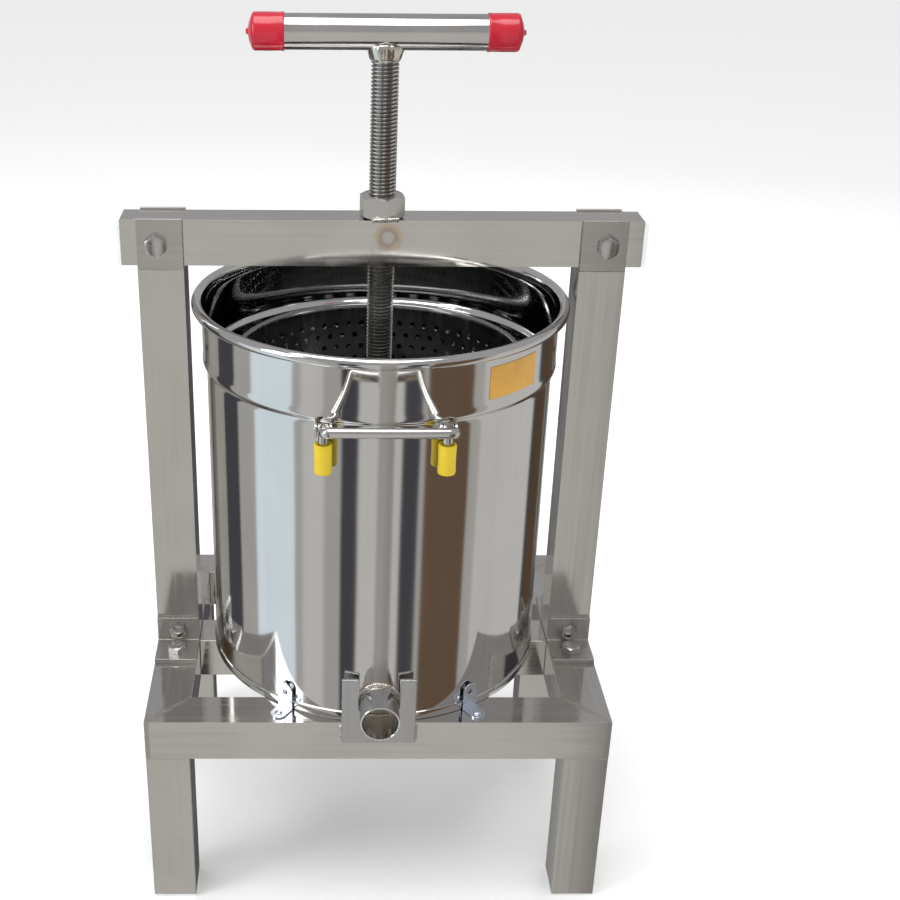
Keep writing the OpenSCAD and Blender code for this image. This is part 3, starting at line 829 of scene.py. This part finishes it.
ROD = 4 * MM
ARM_X = 48 * MM
PIVOT_Y, PIVOT_Z = 148 * MM, 464 * MM
PIN_R = 2.5 * MM
KNEE = 6 * MM
SLEEVE_R = 7.2 * MM
BEND_R = 5 * MM
for prefix, spin in (("front", 0), ("rear", 180)):
    lo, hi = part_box(prefix + "_handle")
    grip_y = max(abs(lo.y), abs(hi.y)) - ROD
    grip_z = hi.z - ROD
    sleeve_lo, sleeve_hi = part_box(prefix + "_sleeves")
    start = sleeve_lo.z + 1.5 * MM
    path = fillet([
        (-ARM_X, -PIVOT_Y, start), (-ARM_X, -PIVOT_Y, PIVOT_Z), (-ARM_X, -grip_y, grip_z),
        (ARM_X, -grip_y, grip_z), (ARM_X, -PIVOT_Y, PIVOT_Z), (ARM_X, -PIVOT_Y, start),
    ], BEND_R)
    shape = Shape().add(sweep(path, ROD, 28), turn(spin))
    eye_r = KNEE - 1 * MM
    eye_half = KNEE - 1.7 * MM
    soft = 0.6 * MM
    eye = [(PIN_R, -eye_half), (eye_r - soft, -eye_half), (eye_r, -eye_half + soft),
           (eye_r, eye_half - soft), (eye_r - soft, eye_half), (PIN_R, eye_half)]
    for x in (-ARM_X, ARM_X):
        shape.add(lathe(eye, 36, True), turn(spin) @ move(x, -PIVOT_Y, PIVOT_Z) @ turn(90, "Y"))
    piece(prefix + "_handle_bent", shape, rod_steel, prefix + "_bail",
          (prefix + "_handle",))
    sleeve = [(0.0, sleeve_lo.z), (SLEEVE_R - 1.5 * MM, sleeve_lo.z),
              (SLEEVE_R - 0.3 * MM, sleeve_lo.z + 0.5 * MM), (SLEEVE_R, sleeve_lo.z + 1.8 * MM),
              (SLEEVE_R - 0.25 * MM, (sleeve_lo.z + sleeve_hi.z) / 2),
              (SLEEVE_R, sleeve_hi.z - 1.2 * MM), (SLEEVE_R - 0.5 * MM, sleeve_hi.z - 0.2 * MM),
              (SLEEVE_R - 1.2 * MM, sleeve_hi.z), (ROD + 0.3 * MM, sleeve_hi.z - 0.4 * MM),
              (ROD, sleeve_hi.z - 2 * MM), (0.0, sleeve_hi.z - 2 * MM)]
    shape = Shape()
    for x in (-ARM_X, ARM_X):
        shape.add(lathe(sleeve, 40), turn(spin) @ move(x, -PIVOT_Y, 0))
    piece(prefix + "_sleeves_soft", shape, yellow_vinyl, prefix + "_bail",
          (prefix + "_sleeves",), sharp=70)
    pin_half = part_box(prefix + "_handle_pins")[1].x - ARM_X
    pin = [(0.0, -pin_half)]
    pin += [(PIN_R * math.sin(math.radians(30 * i)) + 0.001 * MM,
             -pin_half + 0.8 * MM * (1 - math.cos(math.radians(30 * i)))) for i in (1, 2, 3)]
    pin += [(r, -z) for r, z in reversed(pin)]
    shape = Shape()
    for x in (-ARM_X, ARM_X):
        shape.add(lathe(pin, 28), turn(spin) @ move(x, -PIVOT_Y, PIVOT_Z) @ turn(90, "Y"))
    piece(prefix + "_handle_pins_domed", shape, zinc, "barrel",
          (prefix + "_handle_pins",), sharp=60)

# ---- Basket -------------------------------------------------------------------------------

basket_lo, basket_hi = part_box("basket_shell")
BASKET_ROLL = 3 * MM
basket_r = basket_hi.x - 2 * BASKET_ROLL + SHEET
inner_r = basket_r - SHEET
HOLES_ROUND = 62
HOLE_ROWS = 20
HOLE_R = 2.6 * MM
hole_foot = basket_lo.z + 14 * MM
hole_head = basket_hi.z - 2 * BASKET_ROLL - 7 * MM
cell_h = (hole_head - hole_foot) / HOLE_ROWS
cell_w = TAU * basket_r / HOLES_ROUND
SIDE = (-0.5, -0.25, 0, 0.25)
SQUARE = ([(t, -0.5) for t in SIDE] + [(0.5, t) for t in SIDE]
          + [(-t, 0.5) for t in SIDE] + [(-0.5, -t) for t in SIDE])


def round_basket(u, z, r):
    """A point at a radius, u along the outside of the basket's wall and z up."""
    a = u / basket_r
    return Vector((r * math.cos(a), r * math.sin(a), z))


shape = Shape()
for row in range(HOLE_ROWS):
    for column in range(HOLES_ROUND):
        cu = (column + 0.5 * (row % 2)) * cell_w
        cz = hole_foot + (row + 0.5) * cell_h
        rim = [(cu + u * cell_w, cz + v * cell_h) for u, v in SQUARE]
        hole = []
        for u, v in SQUARE:
            a = math.atan2(v, u)
            hole.append((cu + HOLE_R * math.cos(a), cz + HOLE_R * math.sin(a)))
        shape.add(loft([[round_basket(u, z, r) for u, z in loop]
                        for r, loop in ((basket_r, rim), (basket_r, hole), (inner_r, hole),
                                        (inner_r, rim))]))
quarter = HOLES_ROUND * 4
lower = [(basket_r, hole_foot), (basket_r, basket_lo.z + 1.5 * MM),
         (basket_r - 0.5 * MM, basket_lo.z + 0.4 * MM), (basket_r - 1.5 * MM, basket_lo.z),
         (0.0, basket_lo.z), (0.0, basket_lo.z + SHEET), (inner_r - 1.2 * MM, basket_lo.z + SHEET),
         (inner_r, basket_lo.z + SHEET + 1.2 * MM), (inner_r, hole_foot)]
shape.add(lathe(lower, quarter))
rim_r = basket_hi.x - BASKET_ROLL
rim_z = basket_hi.z - BASKET_ROLL
upper = [(basket_r, hole_head), (basket_r, rim_z - BASKET_ROLL - 0.5 * MM)]
upper += arc(rim_r, rim_z, BASKET_ROLL, 225, 515, 20)
upper += [(inner_r, rim_z - BASKET_ROLL), (inner_r, hole_head)]
shape.add(lathe(upper, quarter))
piece("basket_perforated", shape, basket_steel, "basket", ("basket_shell",))

# ---- Press plate --------------------------------------------------------------------------

plate_lo, plate_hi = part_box("press_plate")
edge = 1.0 * MM
hub_bore = 8.05 * MM
profile = [(hub_bore, plate_lo.z), (plate_hi.x - edge, plate_lo.z),
           (plate_hi.x, plate_lo.z + edge), (plate_hi.x, plate_hi.z - edge),
           (plate_hi.x - edge, plate_hi.z), (hub_bore, plate_hi.z)]
piece("press_plate_turned", lathe(profile, 192, True), press_steel, "plate",
      ("press_plate",))
hub_lo, hub_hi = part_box("plate_hub")
hub_ring = [(x, y, hub_lo.z + 0.8 * MM) for x, y in arc(0, 0, hub_hi.x + 1 * MM, 0, 354, 59)]
piece("hub_weld", weld(hub_ring, 1.9 * MM, 7.0, closed=True), weld_steel, "plate")

# ---- Screw and handle bar -----------------------------------------------------------------

screw_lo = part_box("screw")[0]
PITCH = 3 * MM
JOURNAL = 8 * MM
shoulder_z = hub_hi.z + 0.3 * MM
bar_lo, bar_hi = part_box("handle_bar")
bar_z = (bar_lo.z + bar_hi.z) / 2
bar_r = (bar_hi.z - bar_lo.z) / 2
thread_top = bar_z - bar_r - 6 * MM
shape = Shape()
shape.add(thread(SCREW_R, SCREW_R - 1.75 * MM, PITCH, shoulder_z, thread_top))
core = [(0.0, screw_lo.z), (JOURNAL - 0.4 * MM, screw_lo.z), (JOURNAL, screw_lo.z + 0.4 * MM),
        (JOURNAL, shoulder_z), (SCREW_R - 1.8 * MM, shoulder_z),
        (SCREW_R - 1.8 * MM, thread_top), (SCREW_R - 0.3 * MM, thread_top + 0.5 * MM),
        (SCREW_R - 0.3 * MM, bar_z - bar_r + 2 * MM), (0.0, bar_z - bar_r + 2 * MM)]
shape.add(lathe(core, 48))
piece("screw_threaded", shape, screw_steel, "spindle", ("screw",), sharp=50)

soft = 0.8 * MM
tube = [(bar_r - 2 * MM, bar_lo.x), (bar_r - soft, bar_lo.x), (bar_r, bar_lo.x + soft)]
tube += [(bar_r, bar_lo.x + soft + (bar_hi.x - bar_lo.x - 2 * soft) * i / 20)
         for i in range(1, 21)]
tube += [(bar_r - soft, bar_hi.x), (bar_r - 2 * MM, bar_hi.x)]
piece("handle_bar_tube", Shape().add(lathe(tube, 96, True), move(0, 0, bar_z) @ turn(90, "Y")),
      bar_steel, "spindle", ("handle_bar",))

weld_lo, weld_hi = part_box("bar_weld")
weld_foot = weld_lo.z
weld_out = weld_hi.x


def lumpy(r, z, a):
    """Pools of weld that climb the sides of the handle bar."""
    rise = (z - weld_foot) / (weld_hi.z - weld_foot)
    lump = noise.noise(Vector((math.cos(a) * 3.1, math.sin(a) * 3.1, z * 350)))
    scallop = abs(math.sin(a * 7)) - 0.6
    climb = 3.5 * MM * abs(math.sin(a)) * max(0.0, rise - 0.4)
    return r + (0.9 * lump + 0.45 * scallop) * MM * min(1.0, rise * 3), z + climb


bead = [(SCREW_R - 0.5 * MM, weld_foot), (SCREW_R + 0.8 * MM, weld_foot + 0.4 * MM),
        (SCREW_R + 1.8 * MM, weld_foot + 2.5 * MM), (weld_out - 1.6 * MM, weld_foot + 5 * MM),
        (weld_out - 0.9 * MM, weld_foot + 7 * MM), (weld_out - 0.6 * MM, weld_foot + 9 * MM),
        (weld_out - 1.2 * MM, weld_foot + 11 * MM), (weld_out - 2.8 * MM, weld_hi.z),
        (SCREW_R - 0.5 * MM, weld_hi.z - 0.5 * MM)]
piece("bar_weld_pooled", lathe(bead, 120, True, lumpy), weld_steel, "spindle",
      ("bar_weld",), sharp=80)

CAP_BEND = 2.65 * MM
for node, side in (("left_cap", -1), ("right_cap", 1)):
    lo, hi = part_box(node)
    skin_r = (hi.z - lo.z) / 2
    length = hi.x - lo.x
    cap = [(bar_r, 0.0), (skin_r - 0.5 * MM, 0.0), (skin_r, 0.5 * MM), (skin_r, 1.6 * MM),
           (skin_r - 0.25 * MM, 2.4 * MM), (skin_r - 0.1 * MM, length * 0.4),
           (skin_r - 0.15 * MM, length - 7.6 * MM)]
    cap += arc(skin_r - 2.8 * MM, length - 7.4 * MM, CAP_BEND, 0, 62, 7)[1:]
    cap += [(7 * MM, length - 2.6 * MM), (3.4 * MM, length - 2.0 * MM),
            (2.4 * MM, length - 1.6 * MM), (2.0 * MM, length - 0.5 * MM), (1.5 * MM, length),
            (0.0, length), (0.0, length - 5.2 * MM), (bar_r - 0.02 * MM, length - 5.2 * MM)]
    base_x = lo.x if side > 0 else hi.x
    place = move(base_x, 0, bar_z) @ turn(90 * side, "Y")
    piece(node + "_dipped", Shape().add(lathe(cap, 96), place), red_vinyl, "spindle",
          (node,), sharp=75)

bolt_lo, bolt_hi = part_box("retaining_bolt")
shape = Shape()
shape.add(bolt_head(M8_FLATS, M8_HEAD), move(0, 0, bolt_lo.z + M8_HEAD) @ turn(180, "X"))
shape.add(rod_thread(4 * MM, 0.0, bolt_hi.z - bolt_lo.z - M8_HEAD, M8_PITCH),
          move(0, 0, bolt_lo.z + M8_HEAD - 0.05 * MM))
piece("retaining_bolt_threaded", shape, bolt_steel, "spindle", ("retaining_bolt",))

# ---- Weld beads on the frame --------------------------------------------------------------

saddle_lo, saddle_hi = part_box("outlet_saddle")
beads = Shape()
seed = 1.0
SEED_STEP = 1.7


def add_bead(path, radius):
    """Adds an open bead, with the next seed, so that no two are alike."""
    global seed
    seed += SEED_STEP
    beads.add(weld(path, radius, seed))


for side in (-1, 1):
    x = side * saddle_hi.x
    rail_face = saddle_hi.y
    add_bead([(x + side * 0.4 * MM, rail_face - 0.4 * MM, saddle_lo.z + 1 * MM),
              (x + side * 0.4 * MM, rail_face - 0.4 * MM, saddle_lo.z + 17 * MM)], 1.6 * MM)
nut_reach = NUT_FLATS / 2 + 0.6 * MM
bead_half = 11 * MM
for face_turn in (0, 180):
    place = turn(NUT_TURN + face_turn)
    add_bead([place @ Vector((t * bead_half, -nut_reach, nut_lo.z + 0.9 * MM))
              for t in (-1, -0.4, 0.3, 1)], 2.1 * MM)
leg_lo, leg_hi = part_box("front_left_leg")
TUBE = leg_hi.x - leg_lo.x
for sx in (-1, 1):
    for sy in (-1, 1):
        in_x = sx * (base_half_x - TUBE)
        in_y = sy * (base_half_y - TUBE)
        z = leg_hi.z - 0.2 * MM
        add_bead([(in_x, sy * (base_half_y - 4 * MM), z), (in_x, in_y, z)], 1.3 * MM)
        add_bead([(sx * (base_half_x - 4 * MM), in_y, z), (in_x, in_y, z)], 1.3 * MM)
cross_lo, cross_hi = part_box("cross_rail")
for sx in (-1, 1):
    for y in (cross_lo.y + 3 * MM, cross_hi.y - 3 * MM):
        add_bead([(sx * cross_hi.x, y, cross_hi.z - 3 * MM),
                  (sx * cross_hi.x, y, cross_lo.z + 3 * MM)], 1.1 * MM)
piece("frame_welds", beads, weld_steel, "frame", sharp=80)

# ---- Studio: floor, lights, surroundings and camera ---------------------------------------

FLOOR_HALF = 14.0
bm = bmesh.new()
bmesh.ops.create_grid(bm, x_segments=2, y_segments=2, size=FLOOR_HALF)
mesh = bpy.data.meshes.new("studio_floor")
bm.to_mesh(mesh)
bm.free()
floor = bpy.data.objects.new("studio_floor", mesh)
bpy.context.scene.collection.objects.link(floor)
floor_paint, write, shader, coords = new_material("studio_floor_paint")
grain = write.noise(coords, 60.0, 3.0)
write.link(write.mix(grain, (0.92, 0.92, 0.92), (0.94, 0.94, 0.935)),
           shader.inputs["Base Color"])
shader.inputs["Roughness"].default_value = 0.7
shader.inputs["Specular IOR Level"].default_value = 0.2
mesh.materials.append(floor_paint)
floor.visible_glossy = False

# Panels round the press, which only reflections show. Each row holds where a panel stands, in
# degrees round from the front towards +X, its half width in degrees, and its colour. A panel
# fades out over PANEL_EDGE degrees. Between CEILING_FROM and CEILING_FULL, which are sines of
# the angle above level, everything turns into the ceiling.
PANEL_EDGE = 3.0
CEILING_FROM = -0.05
CEILING_FULL = 0.25
WALL_GREY = (0.46, 0.45, 0.43)
CEILING_GREY = (0.42, 0.42, 0.43)
COOL_WINDOW = (0.82, 0.93, 1.0)
PALE_SCREEN = (0.62, 0.61, 0.59)
DARK_DRAPE = (0.07, 0.07, 0.08)
BROWN_DOOR = (0.15, 0.10, 0.065)
PANELS = (
    (-75, 15, COOL_WINDOW),
    (-45, 6, PALE_SCREEN),
    (-20, 4, DARK_DRAPE),
    (0, 12, PALE_SCREEN),
    (20, 4, DARK_DRAPE),
    (45, 14, BROWN_DOOR),
    (95, 25, PALE_SCREEN),
    (-120, 10, DARK_DRAPE),
    (135, 10, DARK_DRAPE),
    (180, 10, DARK_DRAPE),
)


def studio_room(write, direction):
    """The colour seen in a direction: panels in front of a grey wall, under a grey ceiling."""
    flat = write.node("ShaderNodeVectorMath", operation="MULTIPLY")
    write.link(direction, flat.inputs[0])
    flat.inputs[1].default_value = (1.0, 1.0, 0.0)
    heading = write.node("ShaderNodeVectorMath", operation="NORMALIZE")
    write.link(flat.outputs[0], heading.inputs[0])
    room = WALL_GREY
    for degrees, half, color in PANELS:
        place = math.radians(degrees)
        facing = write.node("ShaderNodeVectorMath", operation="DOT_PRODUCT")
        write.link(heading.outputs[0], facing.inputs[0])
        facing.inputs[1].default_value = (math.sin(place), -math.cos(place), 0.0)
        edge = math.cos(math.radians(half + PANEL_EDGE))
        inside = write.span(facing.outputs["Value"], edge, math.cos(math.radians(half)),
                            smooth=True)
        room = write.mix(inside, room, color)
    up = axes_of(write, direction)[2]
    ceiling = write.span(up, CEILING_FROM, CEILING_FULL, smooth=True)
    return write.mix(ceiling, room, CEILING_GREY)


world = bpy.data.worlds.new("studio")
bpy.context.scene.world = world
world.use_nodes = True
write = Nodes(world.node_tree)
out = write.node("ShaderNodeOutputWorld")
direction = write.node("ShaderNodeTexCoord").outputs["Generated"]
studio = write.node("ShaderNodeBackground")
write.link(studio_room(write, direction), studio.inputs["Color"])
studio.inputs["Strength"].default_value = 1.0
plain = write.node("ShaderNodeBackground")
plain.inputs["Color"].default_value = (1.0, 1.0, 1.0, 1.0)
plain.inputs["Strength"].default_value = 1.0
rays = write.node("ShaderNodeLightPath")
pick = write.node("ShaderNodeMixShader")
even = write.math("MAXIMUM", rays.outputs["Is Camera Ray"], rays.outputs["Is Diffuse Ray"])
write.link(even, pick.inputs[0])
write.link(studio.outputs[0], pick.inputs[1])
write.link(plain.outputs[0], pick.inputs[2])
write.link(pick.outputs[0], out.inputs["Surface"])


def softbox(name, place, aim, width, height, watts, tint=(1.0, 1.0, 1.0)):
    """A rectangular light, in metres, turned to face the point it is aimed at."""
    light = bpy.data.lights.new(name, "AREA")
    light.shape = "RECTANGLE"
    light.size = width
    light.size_y = height
    light.energy = watts
    light.color = tint
    obj = bpy.data.objects.new(name, light)
    bpy.context.scene.collection.objects.link(obj)
    obj.location = place
    obj.rotation_euler = (Vector(aim) - Vector(place)).to_track_quat("-Z", "Y").to_euler()
    return obj


softbox("overhead_softbox", (-0.2, -0.3, cad_hi.z + 1.5), (0, 0, 0.3), 1.6, 1.2, 20)
softbox("left_softbox", (-1.7, -0.9, 1.3), (0, 0, 0.35), 0.7, 1.3, 14, (0.93, 0.96, 1.0))
rear = softbox("rear_softbox", (0.7, 1.9, 1.5), (0, 0, 0.4), 1.4, 0.7, 10)
rear.visible_glossy = False

# The camera's place and angles come from a fit to points read off the photo
LENS_MM = 56.6
SENSOR_MM = 36.0
SHIFT_X = 0.128
SHIFT_Y = 0.067
CAMERA_AT = Vector((-50.9, -1141.9, 899.3)) * MM
PITCH_UP, YAW, ROLL_BY = math.radians(-26.93), math.radians(0.71), math.radians(0.45)
camera_data = bpy.data.cameras.new("camera")
camera_data.sensor_width = SENSOR_MM
camera_data.lens = LENS_MM
camera_data.shift_x = SHIFT_X
camera_data.shift_y = SHIFT_Y
camera_data.clip_start = 0.05
camera = bpy.data.objects.new("camera", camera_data)
bpy.context.scene.collection.objects.link(camera)
camera.location = CAMERA_AT
forward = Vector((math.sin(YAW) * math.cos(PITCH_UP), math.cos(YAW) * math.cos(PITCH_UP),
                  math.sin(PITCH_UP)))
right = Vector((math.cos(YAW), -math.sin(YAW), 0))
upward = right.cross(forward)
tilted_right = right * math.cos(ROLL_BY) + upward * math.sin(ROLL_BY)
tilted_up = upward * math.cos(ROLL_BY) - right * math.sin(ROLL_BY)
camera_axes = Matrix((tilted_right, tilted_up, -forward)).transposed()
camera.rotation_mode = "QUATERNION"
camera.rotation_quaternion = camera_axes.to_quaternion()
bpy.context.scene.camera = camera
bpy.context.scene.view_settings.view_transform = "Standard"
